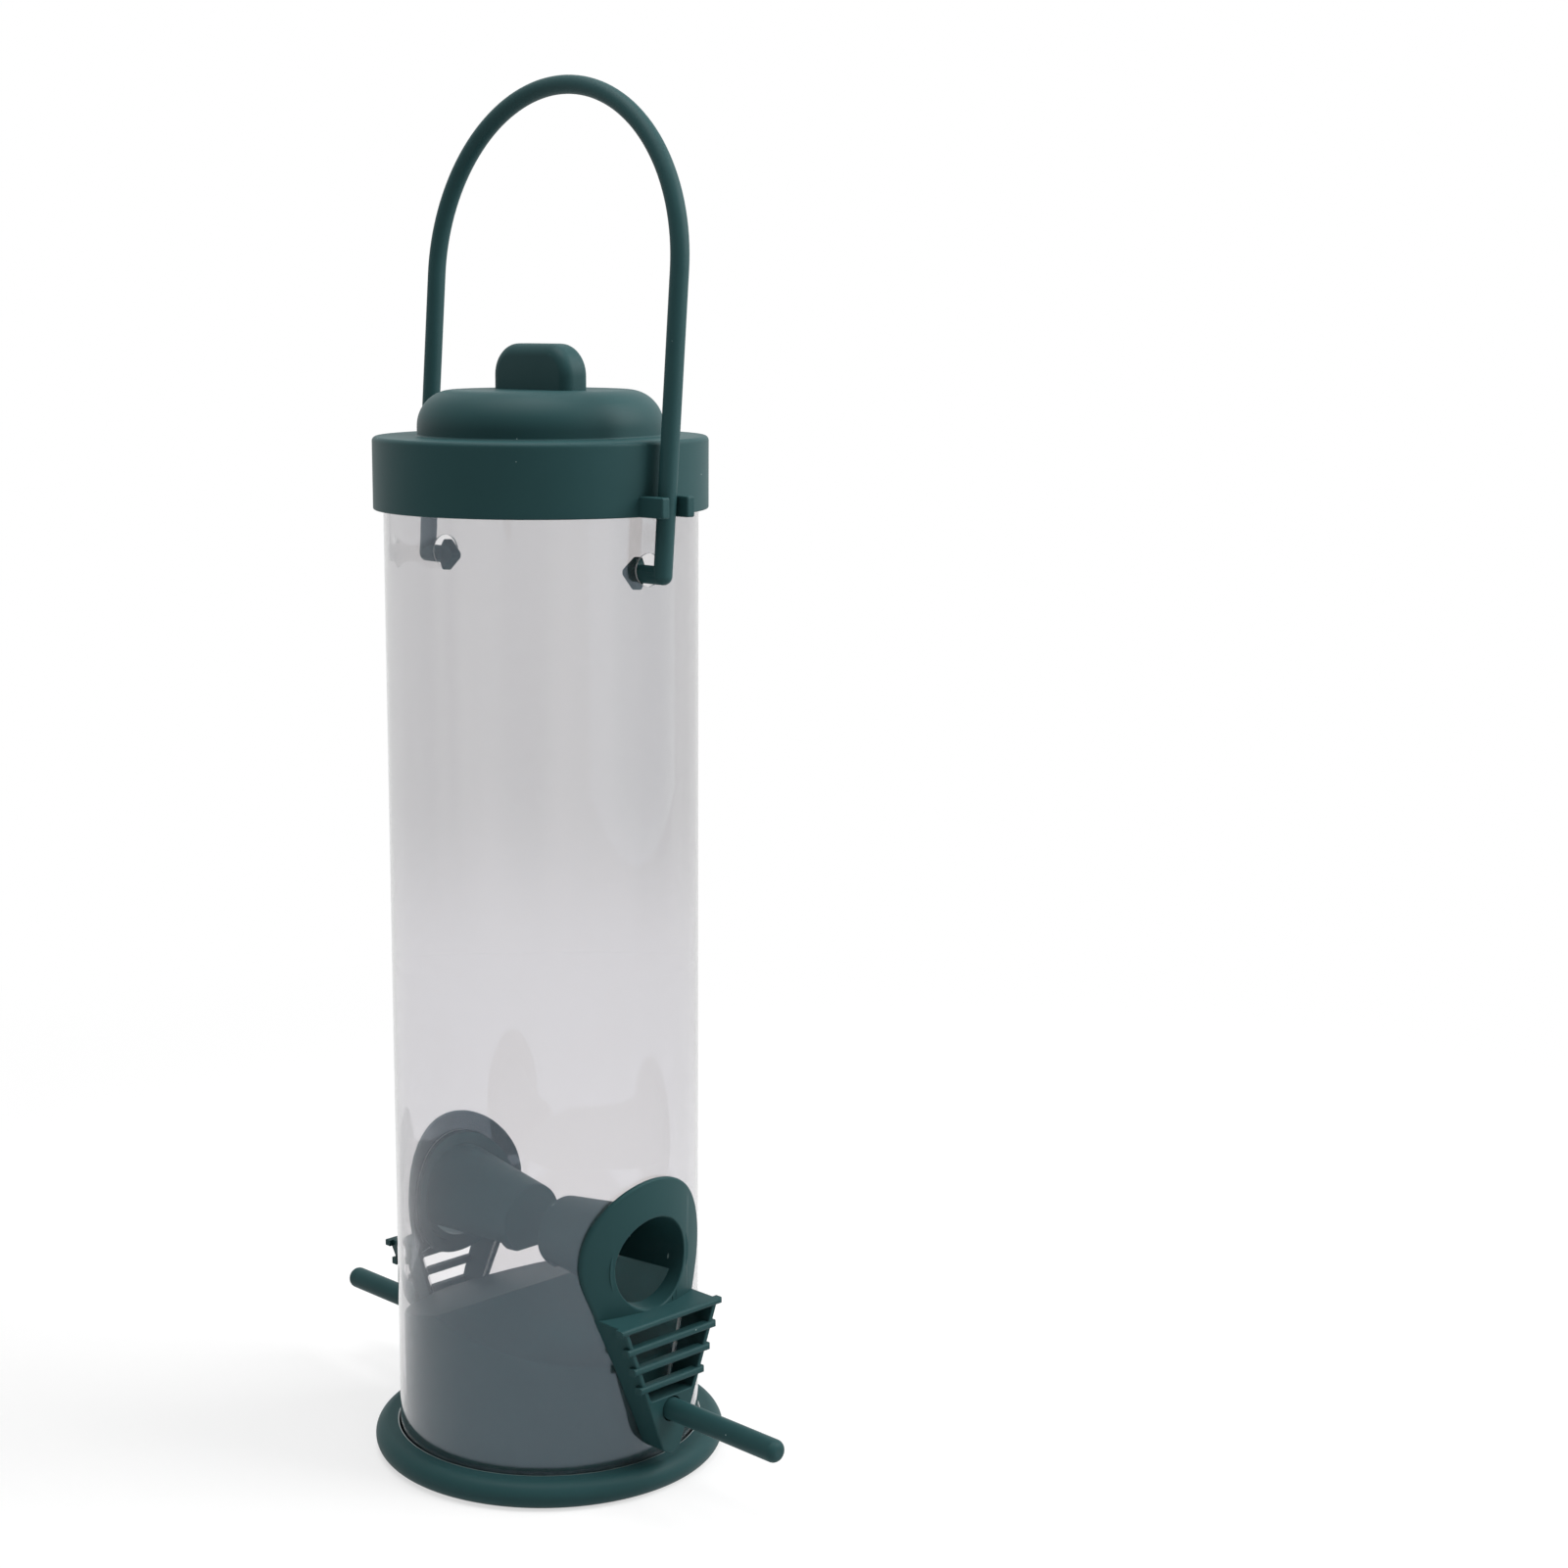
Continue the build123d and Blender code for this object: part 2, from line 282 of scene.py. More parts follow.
# Moulded polypropylene, dark teal green, from a lightly grained mould: a satin surface with broad,
# soft highlights, slightly cloudy colour, a fine grain, and a few pale nicks and specks of dust. The
# grain is drawn coarser than a mould's, so that it shows.
def moulded_polypropylene():
    green = linear("#284a4c")
    green_cloud = linear("#214143")
    pale = linear("#8fa5a4")
    cloud_size = 24 * MM
    grain_size = 0.4 * MM
    grain_depth = 0.02 * MM
    dust_spacing = 5.0 * MM
    dust_size = 0.17 * MM
    dusty_share = 0.6
    nick_spacing = 10.0 * MM
    nick_size = 0.25 * MM
    nicked_share = 1.0
    nick_stretch = (1, 1, 0.3)
    material, tree, place, output = new_material("moulded_polypropylene")
    cloud = add_node(tree, "ShaderNodeTexNoise", {"Vector": place, "Scale": 1 / cloud_size, "Detail": 4.0})
    grain = add_node(tree, "ShaderNodeTexNoise", {"Vector": place, "Scale": 1 / grain_size, "Detail": 1.0})
    tone = add_node(
        tree,
        "ShaderNodeMix",
        {"Factor": cloud.outputs["Fac"], "A": green, "B": green_cloud},
        data_type="RGBA",
    )
    dust = scattered_marks(tree, place, dust_spacing, dust_size, dusty_share)
    dusty = add_node(
        tree,
        "ShaderNodeMix",
        {"Factor": dust.outputs["Result"], "A": tone.outputs["Result"], "B": pale},
        data_type="RGBA",
    )
    nick = scattered_marks(tree, place, nick_spacing, nick_size, nicked_share, nick_stretch)
    colour = add_node(
        tree,
        "ShaderNodeMix",
        {"Factor": nick.outputs["Result"], "A": dusty.outputs["Result"], "B": pale},
        data_type="RGBA",
    )
    gloss = add_node(
        tree,
        "ShaderNodeMapRange",
        {"Value": cloud.outputs["Fac"], "To Min": 0.44, "To Max": 0.58},
    )
    bump = add_node(
        tree,
        "ShaderNodeBump",
        {"Height": grain.outputs["Fac"], "Strength": 0.15, "Distance": grain_depth},
    )
    surface = add_node(
        tree,
        "ShaderNodeBsdfPrincipled",
        {
            "Base Color": colour.outputs["Result"],
            "Roughness": gloss.outputs["Result"],
            "Normal": bump.outputs["Normal"],
            "IOR": 1.49,
            "Specular IOR Level": 0.14,
        },
    )
    tree.links.new(surface.outputs["BSDF"], output.inputs["Surface"])
    return material


green_plastic = moulded_polypropylene()


def dress(piece, material, body, node):
    """Gives a finished piece its material, and says which part of the frame it stands for."""
    piece.data.materials.clear()
    piece.data.materials.append(material)
    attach(piece, body)
    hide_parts(node)


# Painted highlight: where the tube is pushed into the groove, the lip is painted near white, so it
# shows as a thin pale line, a painted glint along the tube's foot.
def painted_lip_highlight():
    highlight_white = linear("#d3dcdc")
    material, tree, _, output = new_material("painted_lip_highlight")
    surface = add_node(
        tree,
        "ShaderNodeBsdfPrincipled",
        {"Base Color": highlight_white, "Roughness": 0.3, "IOR": 1.49},
    )
    tree.links.new(surface.outputs["BSDF"], output.inputs["Surface"])
    return material


dress(base, green_plastic, "feeder_body", "base")
# The lip's faces get the painted highlight, a thin pale line.
base.data.materials.append(painted_lip_highlight())
for face in base.data.polygons:
    from_lip = face.center.xy.length - groove_radius
    if 0 < from_lip < groove_lip and face.center.z > lip_z:
        face.material_index = 1


# Feeding ports. Each is one polypropylene moulding: a teardrop flange curved to the tube, a spigot in
# the tube's hole, a hooded chute behind the mouth, and under it a shelf on a barred cage that ends in
# the boss for the peg. The peg through boss, tube and base holds it.
tube_low, tube_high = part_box("tube")
port_low, port_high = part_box("front_port")
tube_radius = tube_high.x
port_z = 45.0 * MM
flange_radius = port_high.x
flange_z = 46.4 * MM
flange_thick = 1.1 * MM
flange_back = -tube_radius - 0.1 * MM
flange_edge = 0.4 * MM
flange_sides = 128
toe_radius = 2.8 * MM
toe_z = port_low.z + toe_radius
toe_sides = 48
flat_within = 0.5
flange_curve = tube_radius + 1.0 * MM
mouth_radius = 9.0 * MM
spigot_radius = 12.7 * MM
spigot_front = flange_back - 0.5 * MM
spigot_back = -28.3 * MM
spigot_curve = tube_radius - 0.5 * MM
hole_sides = 96
cage_front = -35.8 * MM
cage_back = -24.0 * MM
cage_wall = 1.0 * MM
cage_edge = 0.3 * MM
shelf_z = 36.0 * MM
shelf_thick = 1.2 * MM
sill_z = 19.8 * MM
bar_levels = [z * MM for z in (22.7, 26.9, 31.1)]
bar_height = 1.4 * MM
bar_depth = 1.8 * MM
bar_proud = 0.4 * MM
bar_nub = 1.0 * MM
bar_edge = 0.45 * MM
lip_rise = 0.02 * MM
boss_gap = 0.3 * MM
hood_root = -29.7 * MM
hood_tip = port_high.y
hood_root_radius = 10.4 * MM
hood_tip_radius = 7.1 * MM
hood_wall = 1.2 * MM
hood_edge = 0.25 * MM
chute_drop = 4.07 * MM
sole_drop = 5.8 * MM
chute_front = -27.0 * MM
chute_back = hood_tip - 2 * hood_wall
sole_front = chute_front + 1.0 * MM


def teardrop_block(name, inset, y0, y1):
    """Upright teardrop drawn along Y: the hull of a large round above a small toe."""
    bpy.ops.object.select_all(action="DESELECT")
    head = (flange_radius - inset, flange_z, flange_sides)
    toe = (toe_radius - inset, toe_z, toe_sides)
    for radius, z, sides in (head, toe):
        bpy.ops.mesh.primitive_cylinder_add(
            vertices=sides,
            radius=radius,
            depth=y1 - y0,
            location=(0, (y0 + y1) / 2, z),
            rotation=(math.pi / 2, 0, 0),
        )
        if bpy.context.mode == "OBJECT":
            piece = bpy.context.object
            bpy.ops.object.mode_set(mode="EDIT")
    bpy.ops.mesh.select_all(action="SELECT")
    bpy.ops.mesh.convex_hull(delete_unused=True, use_existing_faces=False, join_triangles=True)
    bpy.ops.mesh.select_all(action="SELECT")
    bpy.ops.mesh.dissolve_limited(angle_limit=math.radians(flat_within))
    bpy.ops.object.mode_set(mode="OBJECT")
    return place_in_mesh(piece, name)


def keep_between(piece, low, high):
    """Cuts a form off flat below one height and above another."""
    bpy.ops.object.select_all(action="DESELECT")
    bpy.context.view_layer.objects.active = piece
    piece.select_set(True)
    bpy.ops.object.mode_set(mode="EDIT")
    for z, up in ((low, -1), (high, 1)):
        bpy.ops.mesh.select_all(action="SELECT")
        bpy.ops.mesh.bisect(plane_co=(0, 0, z), plane_no=(0, 0, up), use_fill=True, clear_outer=True)
    bpy.ops.object.mode_set(mode="OBJECT")
    return piece


def wrap_round_tube(piece, radius, strip=1.0 * MM):
    """Slices a flat plate into upright strips and sets them back to follow the tube's curve."""
    bpy.ops.object.select_all(action="DESELECT")
    bpy.context.view_layer.objects.active = piece
    piece.select_set(True)
    bpy.ops.object.mode_set(mode="EDIT")
    reach = int(flange_radius / strip)
    for i in range(-reach, reach + 1):
        bpy.ops.mesh.select_all(action="SELECT")
        bpy.ops.mesh.bisect(plane_co=(i * strip, 0, 0), plane_no=(1, 0, 0))
    bpy.ops.object.mode_set(mode="OBJECT")
    for vertex in piece.data.vertices:
        vertex.co.y += radius - math.sqrt(radius**2 - vertex.co.x**2)
    return piece


def box(name, low, high):
    """Square block between two corners."""
    bpy.ops.object.select_all(action="DESELECT")
    middle = [(a + b) / 2 for a, b in zip(low, high)]
    bpy.ops.mesh.primitive_cube_add(size=1, location=middle)
    bpy.context.object.scale = [b - a for a, b in zip(low, high)]
    return place_in_mesh(bpy.context.object, name)


def round_edges(piece, chosen, width, steps=4):
    """Rounds the edges of a piece that a test of their two ends chooses."""
    bpy.ops.object.mode_set(mode="EDIT")
    bpy.ops.mesh.select_mode(type="EDGE")
    bpy.ops.mesh.select_all(action="DESELECT")
    bpy.ops.object.mode_set(mode="OBJECT")
    for edge in piece.data.edges:
        ends = [piece.data.vertices[i].co for i in edge.vertices]
        edge.select = chosen(*ends)
    bpy.ops.object.mode_set(mode="EDIT")
    bpy.ops.mesh.bevel(offset=width, segments=steps, affect="EDGES")
    bpy.ops.mesh.select_mode(type="VERT")
    bpy.ops.object.mode_set(mode="OBJECT")


def cage_half_width(z):
    """Half the width of the tapering cage at a height."""
    lean = math.asin((flange_radius - toe_radius) / (flange_z - toe_z))
    return (toe_radius + (z - toe_z) * math.sin(lean)) / math.cos(lean)


def turned_round(piece, name):
    """Copy of a piece, with its own mesh, for the feeder's other side."""
    twin = piece.copy()
    twin.data = piece.data.copy()
    bpy.context.scene.collection.objects.link(twin)
    twin.rotation_euler.z = math.pi
    return place_in_mesh(twin, name)


flange = teardrop_block("flange", 0, flange_back - flange_thick, flange_back)
keep_between(flange, shelf_z - shelf_thick / 2, port_high.z + MM)
mouth = rod_along_y("mouth", mouth_radius, -2 * tube_radius, 0, port_z, hole_sides)
combine(flange, mouth, "DIFFERENCE")
soften(flange, flange_edge)
wrap_round_tube(flange, flange_curve)

spigot = rod_along_y("spigot", spigot_radius, spigot_front, spigot_back, port_z, hole_sides)
bore = rod_along_y("bore", mouth_radius, -2 * tube_radius, 0, port_z, hole_sides)
combine(spigot, bore, "DIFFERENCE")
wrap_round_tube(spigot, spigot_curve)

front_port = teardrop_block("front_port_moulding", 0, cage_front, cage_back)
keep_between(front_port, 0, shelf_z)
window = teardrop_block("window", cage_wall, 2 * cage_front, 0)
keep_between(window, sill_z, shelf_z - shelf_thick)
combine(front_port, window, "DIFFERENCE")
soften(front_port, cage_edge)
trim = turned("trim", [(0, 0), (-flange_back, 0), (-flange_back, port_high.z), (0, port_high.z)])
combine(front_port, trim, "DIFFERENCE")
combine(front_port, flange, "UNION")
combine(front_port, spigot, "UNION")

bar_front = cage_front - bar_proud
ledges = [(z, bar_height) for z in bar_levels]
ledges.append((shelf_z - shelf_thick / 2 + lip_rise, shelf_thick))
for z, height in ledges:
    half = cage_half_width(z) + bar_nub
    low = (-half, bar_front, z - height / 2)
    high = (half, bar_front + bar_depth, z + height / 2)
    bar = box("bar", low, high)
    round_edges(bar, lambda a, b: max(a.y, b.y) < cage_front, bar_edge)
    combine(front_port, bar, "UNION")

bpy.ops.object.select_all(action="DESELECT")
bpy.ops.mesh.primitive_cone_add(
    vertices=hole_sides,
    radius1=hood_root_radius,
    radius2=hood_tip_radius,
    depth=hood_tip - hood_root,
    location=(0, (hood_root + hood_tip) / 2, port_z),
    rotation=(-math.pi / 2, 0, 0),
)
hood = soften(place_in_mesh(bpy.context.object, "hood"), hood_edge)
bpy.ops.mesh.primitive_cone_add(
    vertices=hole_sides,
    radius1=hood_root_radius - hood_wall,
    radius2=hood_tip_radius - hood_wall,
    depth=hood_tip - hood_root,
    location=(0, (hood_root + hood_tip) / 2 - hood_wall, port_z),
    rotation=(-math.pi / 2, 0, 0),
)
combine(hood, place_in_mesh(bpy.context.object, "hood_bore"), "DIFFERENCE")
past_hood = 2 * hood_root_radius
chute = box("chute", (-past_hood, chute_front, 0), (past_hood, chute_back, port_z - chute_drop))
combine(hood, chute, "DIFFERENCE")
sole = box("sole", (-past_hood, sole_front, 0), (past_hood, 0, port_z - sole_drop))
combine(hood, sole, "DIFFERENCE")
combine(front_port, hood, "UNION")
peg_way = rod_along_y("peg_way", peg_radius + boss_gap, 2 * cage_front, 0, peg_z)
combine(front_port, peg_way, "DIFFERENCE")
shade(front_port)
rear_port = turned_round(front_port, "rear_port_moulding")
dress(front_port, green_plastic, "feeder_body", "front_port")
dress(rear_port, green_plastic, "feeder_body", "rear_port")


# Tube. Clear extruded plastic with a faint grey tint, cut to length, and punched on each side with
# holes for the port, the peg and the bail's hook, and with a window behind the port's bars. It stands
# in the base's groove.
tube_wall = 0.6 * MM
tube_edge = 0.15 * MM
tube_bands = 12
cut_slope = 0.5
tube_inner = tube_radius - tube_wall
port_hole = 12.9 * MM
peg_hole = 2.5 * MM
hook_hole = 3.1 * MM
hook_hole_z = 178.0 * MM
window_lap = 0.3 * MM

band_step = (tube_high.z - tube_low.z - 2 * tube_edge) / tube_bands
band_heights = [tube_low.z + tube_edge + band_step * i for i in range(tube_bands + 1)]
tube_section = [(tube_inner + tube_edge, tube_low.z), (tube_radius - tube_edge, tube_low.z)]
tube_section += [(tube_radius, z) for z in band_heights]
tube_section += [(tube_radius - tube_edge, tube_high.z), (tube_inner + tube_edge, tube_high.z)]
tube_section += [(tube_inner, z) for z in reversed(band_heights)]
tube_section += [tube_section[0]]
tube = turned("clear_tube", tube_section)
for radius, z in ((port_hole, port_z), (peg_hole, peg_z), (hook_hole, hook_hole_z)):
    punch = rod_along_y("punch", radius, -2 * tube_radius, 2 * tube_radius, z, hole_sides)
    combine(tube, punch, "DIFFERENCE")
punch = teardrop_block("punch", cage_wall + window_lap, -2 * tube_radius, 2 * tube_radius)
keep_between(punch, sill_z + window_lap, shelf_z - shelf_thick)
combine(tube, punch, "DIFFERENCE")
shade(tube)


# Clear extruded plastic: it lets the light through with a grey tint, mirrors the room faintly with a
# bluish tint painted into its reflections for bluish room light, and shows a few specks of dust. The
# tint is painted paler towards the foot, as painted light on the lower tube, and carries soft upright
# bands that are painted reflections of the softboxes. Its fine lines are drawn coarser than a die
# leaves them, so that they show.
def clear_extrusion():
    tint = linear("#f4f3f4")
    painted_reflection_band = linear("#e3e2e3")
    painted_foot_light = linear("#f7f6f8")
    # Bluish tint painted into the reflections, standing in for bluish room light.
    painted_bluish_reflection = linear("#d9edff")
    soot = linear("#000000")
    dust = linear("#a9a9a8")
    foot_light_from = 96 * MM
    foot_light_to = 135 * MM
    absorption = 200
    reflection_band_width = 9 * MM
    line_width = 1.2 * MM
    line_depth = 0.02 * MM
    draw_length = 400 * MM
    speck_spacing = 11 * MM
    speck_size = 0.2 * MM
    specked_share = 0.3
    material, tree, place, output = new_material("clear_extrusion")
    # Soft upright bands in the tint: painted reflections of the softboxes.
    reflection_band_place = add_node(
        tree,
        "ShaderNodeMapping",
        {"Vector": place, "Scale": (1 / reflection_band_width, 1 / reflection_band_width, 1 / draw_length)},
    )
    reflection_bands = add_node(
        tree,
        "ShaderNodeTexNoise",
        {"Vector": reflection_band_place.outputs["Vector"], "Scale": 1.0, "Detail": 1.0},
    )
    drawn_lines = add_node(
        tree,
        "ShaderNodeMapping",
        {"Vector": place, "Scale": (1 / line_width, 1 / line_width, 1 / draw_length)},
    )
    lines = add_node(
        tree,
        "ShaderNodeTexNoise",
        {"Vector": drawn_lines.outputs["Vector"], "Scale": 1.0, "Detail": 2.0},
    )
    with_painted_reflections = add_node(
        tree,
        "ShaderNodeMix",
        {"Factor": reflection_bands.outputs["Fac"], "A": tint, "B": painted_reflection_band},
        data_type="RGBA",
    )
    # The tube is painted paler towards the foot: painted light on its lower part.
    axes = add_node(tree, "ShaderNodeSeparateXYZ", {"Vector": place})
    above_foot_light = add_node(
        tree,
        "ShaderNodeMapRange",
        {"Value": axes.outputs["Z"], "From Min": foot_light_from, "From Max": foot_light_to},
        interpolation_type="SMOOTHSTEP",
    )
    tint_with_painted_light = add_node(
        tree,
        "ShaderNodeMix",
        {"Factor": above_foot_light.outputs["Result"], "A": painted_foot_light, "B": with_painted_reflections.outputs["Result"]},
        data_type="RGBA",
    )
    specks = scattered_marks(tree, place, speck_spacing, speck_size, specked_share)
    colour = add_node(
        tree,
        "ShaderNodeMix",
        {"Factor": specks.outputs["Result"], "A": tint_with_painted_light.outputs["Result"], "B": dust},
        data_type="RGBA",
    )
    bump = add_node(
        tree,
        "ShaderNodeBump",
        {"Height": lines.outputs["Fac"], "Strength": 0.05, "Distance": line_depth},
    )
    gloss = add_node(
        tree,
        "ShaderNodeMapRange",
        {"Value": lines.outputs["Fac"], "To Min": 0.01, "To Max": 0.03},
    )
    surface = add_node(
        tree,
        "ShaderNodeBsdfPrincipled",
        {
            "Base Color": colour.outputs["Result"],
            "Roughness": gloss.outputs["Result"],
            "Normal": bump.outputs["Normal"],
            "IOR": 1.58,
            "Specular Tint": painted_bluish_reflection,
            "Transmission Weight": 0.985,
        },
    )
    depth = add_node(tree, "ShaderNodeVolumeAbsorption", {"Color": soot, "Density": absorption})
    tree.links.new(surface.outputs["BSDF"], output.inputs["Surface"])
    tree.links.new(depth.outputs["Volume"], output.inputs["Volume"])
    return material


# Punched edge of the clear plastic: the cut is frosted, so it scatters the light and shows pale. It is
# painted near white and opaque as well, a painted glow that stands in for light piped through the wall.
# Its tooth is drawn coarser than a real cut's, so that it shows.
def frosted_cut_painted_glow():
    frost_and_painted_glow = linear("#f6f8f9")
    frost_shade = linear("#e4e8ea")
    tooth_size = 0.5 * MM
    tooth_depth = 0.05 * MM
    material, tree, place, output = new_material("frosted_cut_painted_glow")
    tooth = add_node(tree, "ShaderNodeTexNoise", {"Vector": place, "Scale": 1 / tooth_size, "Detail": 2.0})
    colour = add_node(
        tree,
        "ShaderNodeMix",
        {"Factor": tooth.outputs["Fac"], "A": frost_and_painted_glow, "B": frost_shade},
        data_type="RGBA",
    )
    bump = add_node(
        tree,
        "ShaderNodeBump",
        {"Height": tooth.outputs["Fac"], "Strength": 0.4, "Distance": tooth_depth},
    )
    surface = add_node(
        tree,
        "ShaderNodeBsdfPrincipled",
        {
            "Base Color": colour.outputs["Result"],
            "Normal": bump.outputs["Normal"],
            "Roughness": 0.5,
            "IOR": 1.58,
        },
    )
    tree.links.new(surface.outputs["BSDF"], output.inputs["Surface"])
    return material


dress(tube, clear_extrusion(), "feeder_body", "tube")
# The cut faces get the frosted edge with its painted glow.
tube.data.materials.append(frosted_cut_painted_glow())
for face in tube.data.polygons:
    outward = Vector((face.center.x, face.center.y, 0)).normalized()
    face.material_index = 1 if abs(face.normal.dot(outward)) < cut_slope else 0


# Perch pegs. Plain rods moulded in polypropylene, with rounded ends, pushed through boss, tube and
# base socket, where they hold by friction.
tip_round = 1.5 * MM
peg_sides = 48
front_perch = rod_along_y("front_perch_peg", peg_radius, peg_low.y, peg_high.y, peg_z, peg_sides)
soften(front_perch, tip_round, steps=6)
shade(front_perch)
rear_perch = turned_round(front_perch, "rear_perch_peg")
dress(front_perch, green_plastic, "feeder_body", "front_perch")
dress(rear_perch, green_plastic, "feeder_body", "rear_perch")


# Bail. A moulded polypropylene rod bent to an arch on two straight legs. Each leg ends in a pin with
# a flat arrow-shaped barb that snaps through the tube's hole.
joints = {joint["name"]: joint for joint in frame["joints"]}
hook = Vector(joints["bail_swing"]["pos_m"])
leg_direction = Vector(joints["lid_lift"]["axis"])
bail_lean = math.atan2(leg_direction.x, leg_direction.z)
bail_radius = 1.75 * MM
bail_spread = 34.6 * MM
bail_leg = 54.9 * MM
bail_sides = 32
arch_steps = 72
foot_round = 1.6 * MM
pin_radius = 1.7 * MM
barb_root = 28.6 * MM
barb_widest = 27.7 * MM
barb_tip = 24.6 * MM
barb_half_height = 3.2 * MM
barb_tip_half_height = 0.5 * MM
barb_thick = 2.4 * MM
barb_edge = 0.4 * MM

bpy.ops.object.select_all(action="DESELECT")
bpy.ops.mesh.primitive_circle_add(
    vertices=bail_sides,
    radius=bail_radius,
    location=(0, -bail_spread, -pin_radius),
)
bail = bpy.context.object
bpy.ops.object.mode_set(mode="EDIT")
bpy.ops.mesh.select_all(action="SELECT")
leg_rise = Vector((0, 0, bail_leg + pin_radius))
bpy.ops.mesh.extrude_region_move(TRANSFORM_OT_translate={"value": leg_rise})
bpy.ops.mesh.spin(steps=arch_steps, angle=math.pi, center=(0, 0, bail_leg), axis=(1, 0, 0))
bpy.ops.mesh.extrude_region_move(TRANSFORM_OT_translate={"value": -leg_rise})
bpy.ops.mesh.select_all(action="SELECT")
bpy.ops.mesh.remove_doubles(threshold=WELD)
bpy.ops.mesh.fill_holes(sides=0)
bpy.ops.mesh.select_all(action="SELECT")
bpy.ops.mesh.normals_make_consistent(inside=False)
bpy.ops.object.mode_set(mode="OBJECT")
place_in_mesh(bail, "bail_moulding")
soften(bail, foot_round, steps=5)

upper_edge = [
    (barb_tip, barb_tip_half_height),
    (barb_widest, barb_half_height),
    (barb_root, pin_radius),
]
arrow = upper_edge + [(y, -z) for y, z in reversed(upper_edge)]
for side in (-1, 1):
    pin = rod_along_y("pin", pin_radius, side * bail_spread, side * barb_widest, 0, bail_sides)
    combine(bail, pin, "UNION")
    barb = drawn_line([(-barb_thick / 2, side * y, z) for y, z in arrow])
    bpy.ops.mesh.edge_face_add()
    bpy.ops.mesh.extrude_region_move(TRANSFORM_OT_translate={"value": (barb_thick, 0, 0)})
    bpy.ops.mesh.select_all(action="SELECT")
    bpy.ops.mesh.normals_make_consistent(inside=False)
    bpy.ops.object.mode_set(mode="OBJECT")
    combine(bail, soften(place_in_mesh(barb, "barb"), barb_edge, angle=30), "UNION")
bail.rotation_euler.y = bail_lean
bail.location = hook
place_in_mesh(bail, "bail_moulding")
shade(bail)
dress(bail, green_plastic, "bail", "bail")


# Lid. One polypropylene moulding: a skirt round the tube's top, a domed crown with a grip bar, and on
# the skirt's lower edge two pairs of prongs that run on the bail's legs.
lid_low, lid_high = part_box("lid")
lid_radius = lid_high.x
shoulder_z = 201.6 * MM
shoulder_round = 0.9 * MM
skirt_edge = 0.3 * MM
bore_radius = 30.65 * MM
seat_z = tube_high.z + 0.8 * MM
seat_radius = 28.6 * MM
lid_wall = 1.6 * MM
crown_radius = 23.4 * MM
crown_top = 210.2 * MM
crown_round = 6.8 * MM
crown_steps = 16
crown_inner_steps = 12
crown_foot = 0.4 * MM
foot_steps = 4
grip_length = 21.6 * MM
grip_width = 6.4 * MM
grip_corner = 6.0 * MM
corner_steps = 12
grip_round = 2.2 * MM
lug_z = 189.8 * MM
lug_height = 3.8 * MM
lug_thick = 1.9 * MM
lug_root = bore_radius + 0.7 * MM
lug_edge = 0.35 * MM
slot_width = 4.4 * MM

round_r = crown_radius - crown_round
round_z = crown_top - crown_round
lid_section = [(0, crown_top)]
lid_section += arc(round_r, round_z, crown_round, 90, 0, crown_steps)
foot_r = crown_radius + crown_foot
lid_section += arc(foot_r, shoulder_z + crown_foot, crown_foot, 180, 270, foot_steps)
lid_section += arc(lid_radius - shoulder_round, shoulder_z - shoulder_round, shoulder_round, 90, 0)
lid_section += arc(lid_radius - skirt_edge, lid_low.z + skirt_edge, skirt_edge, 0, -90, foot_steps)
lid_section += [(bore_radius, lid_low.z), (bore_radius, seat_z), (seat_radius, seat_z)]
ceiling_z = shoulder_z - lid_wall
lid_section += [(seat_radius, ceiling_z), (crown_radius - lid_wall, ceiling_z)]
lid_section += arc(round_r, round_z, crown_round - lid_wall, 0, 90, crown_inner_steps)
lid_section += [(0, crown_top - lid_wall)]
lid = turned("lid_moulding", lid_section)

grip_foot = crown_top - lid_wall / 2
grip_low = (-grip_width / 2, -grip_length / 2, 2 * grip_foot - lid_high.z)
grip_high = (grip_width / 2, grip_length / 2, lid_high.z)
grip = box("grip", grip_low, grip_high)
round_edges(grip, lambda a, b: abs(a.x - b.x) > WELD, grip_corner, corner_steps)
soften(grip, grip_round, steps=6)
keep_between(grip, grip_foot, lid_high.z + MM)
combine(lid, grip, "UNION")
for side in (-1, 1):
    for hand in (-1, 1):
        near = hand * slot_width / 2
        far = near + hand * lug_thick
        tip = side * lid_high.y
        root = side * lug_root
        low = (min(near, far), min(tip, root), lug_z - lug_height / 2)
        high = (max(near, far), max(tip, root), lug_z + lug_height / 2)
        combine(lid, soften(box("prong", low, high), lug_edge), "UNION")
shade(lid)
dress(lid, green_plastic, "lid", "lid")


# Stage. A plain pale floor that takes the object's shadow and fades to white, in a dim room with a
# white backdrop: a soft lamp close by on the right, another overhead, and a wide dim one at the right
# that is only mirrored, as a soft band in the tube.
floor_size = 6.0
floor_drop = 0.05 * MM
fade_start = 0.10
fade_end = 0.42
floor_glow = 0.62
room_light = 0.18
white_light = 1.0


def sees_backdrop(tree):
    """Mask of the rays that show the backdrop: the camera's, mirrored ones and those through the tube."""
    path = add_node(tree, "ShaderNodeLightPath", {})
    clear = add_node(
        tree,
        "ShaderNodeMath",
        {0: path.outputs["Is Glossy Ray"], 1: path.outputs["Is Transmission Ray"]},
        operation="MAXIMUM",
    )
    seen = add_node(
        tree,
        "ShaderNodeMath",
        {0: path.outputs["Is Camera Ray"], 1: clear.outputs["Value"]},
        operation="MAXIMUM",
    )
    return seen.outputs["Value"]


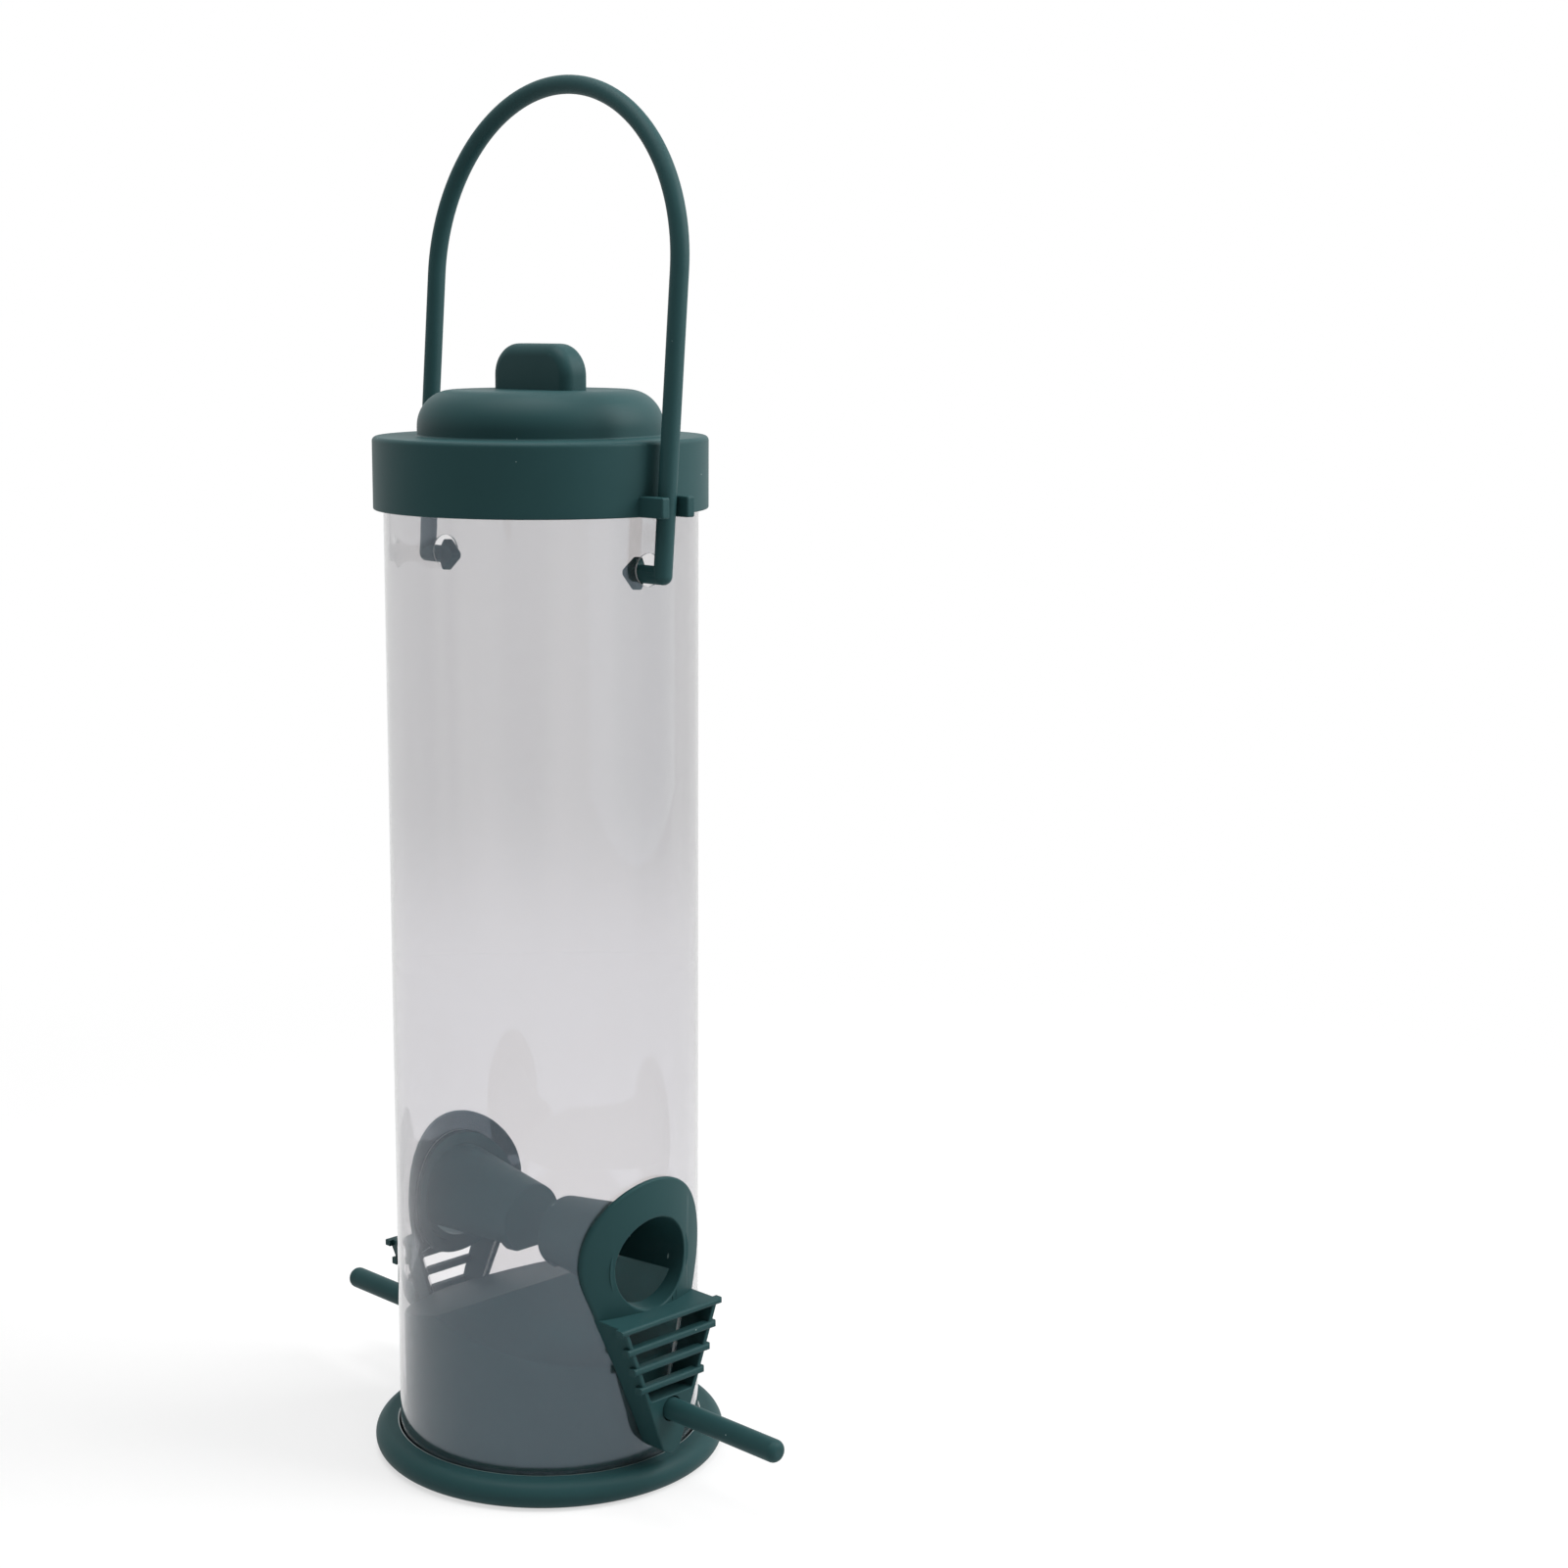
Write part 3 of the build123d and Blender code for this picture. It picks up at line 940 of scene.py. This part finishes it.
bpy.ops.object.select_all(action="DESELECT")
bpy.ops.mesh.primitive_plane_add(size=floor_size, location=(0, 0, -floor_drop))
floor = bpy.context.object
floor.name = "floor"
floor_material, tree, place, output = new_material("pale_floor")
from_middle = add_node(tree, "ShaderNodeVectorMath", {0: place}, operation="LENGTH")
faded = add_node(
    tree,
    "ShaderNodeMapRange",
    {"Value": from_middle.outputs["Value"], "From Min": fade_start, "From Max": fade_end},
    interpolation_type="SMOOTHSTEP",
)
pure_white = linear("#ffffff")
# The floor that is seen takes the shadow and glows to white. Bounced light meets plain paper instead.
white_paper = add_node(tree, "ShaderNodeBsdfDiffuse", {"Color": linear("#d8d8d8")})
paper = add_node(tree, "ShaderNodeBsdfDiffuse", {"Color": linear("#a8a8a8")})
glow = add_node(tree, "ShaderNodeEmission", {"Color": pure_white, "Strength": floor_glow})
lit_paper = add_node(tree, "ShaderNodeAddShader", {0: paper.outputs["BSDF"], 1: glow.outputs["Emission"]})
white = add_node(tree, "ShaderNodeEmission", {"Color": pure_white, "Strength": white_light})
seen_floor = add_node(
    tree,
    "ShaderNodeMixShader",
    {0: faded.outputs["Result"], 1: lit_paper.outputs["Shader"], 2: white.outputs["Emission"]},
)
floor_surface = add_node(
    tree,
    "ShaderNodeMixShader",
    {0: sees_backdrop(tree), 1: white_paper.outputs["BSDF"], 2: seen_floor.outputs["Shader"]},
)
tree.links.new(floor_surface.outputs["Shader"], output.inputs["Surface"])
floor.data.materials.append(floor_material)

world = bpy.data.worlds.new("white_room")
bpy.context.scene.world = world
world.use_nodes = True
tree = world.node_tree
tree.nodes.clear()
room = add_node(tree, "ShaderNodeBackground", {"Color": pure_white, "Strength": room_light})
backdrop = add_node(tree, "ShaderNodeBackground", {"Color": pure_white, "Strength": white_light})
sky = add_node(
    tree,
    "ShaderNodeMixShader",
    {0: sees_backdrop(tree), 1: room.outputs["Background"], 2: backdrop.outputs["Background"]},
)
add_node(tree, "ShaderNodeOutputWorld", {"Surface": sky.outputs["Shader"]})


def softbox(name, place, aim_height, width, height, power):
    """Large soft lamp at a place, turned towards a height on the object's axis."""
    bpy.ops.object.light_add(type="AREA", location=place)
    lamp = bpy.context.object
    lamp.name = name
    lamp.data.shape = "RECTANGLE"
    lamp.data.size = width
    lamp.data.size_y = height
    lamp.data.energy = power
    aim = Vector((0, 0, aim_height)) - Vector(place)
    lamp.rotation_euler = aim.to_track_quat("-Z", "Y").to_euler()
    return lamp


softbox(
    "key_softbox",
    place=(0.36, -0.40, 0.52),
    aim_height=0.16,
    width=0.5,
    height=0.5,
    power=4.6,
)
softbox(
    "top_softbox",
    place=(-0.1, 0.0, 1.0),
    aim_height=0.13,
    width=0.7,
    height=0.7,
    power=6.6,
)
wide_lamp = softbox(
    "wide_softbox",
    place=(0.318, -0.532, 0.15),
    aim_height=0.15,
    width=1.0,
    height=0.3,
    power=0.4,
)
wide_lamp.visible_diffuse = False
wide_lamp.visible_transmission = False

# Camera at the photograph's place: a slightly long lens just above the lid, tilted down a little.
camera_place = (-336.1 * MM, -386.6 * MM, 224.2 * MM)
camera_pitch = 9.96
camera_heading = 44.08
focal_pixels = 2731
image_pixels = 1601
principal_x = 700
sensor_width = 36
bpy.ops.object.camera_add(location=camera_place)
camera = bpy.context.object
camera.rotation_euler = (math.radians(90 - camera_pitch), 0, math.radians(-camera_heading))
camera.data.sensor_width = sensor_width
camera.data.lens = focal_pixels / image_pixels * sensor_width
camera.data.shift_x = 0.5 - principal_x / image_pixels
bpy.context.scene.camera = camera
bpy.context.scene.view_settings.view_transform = "Standard"
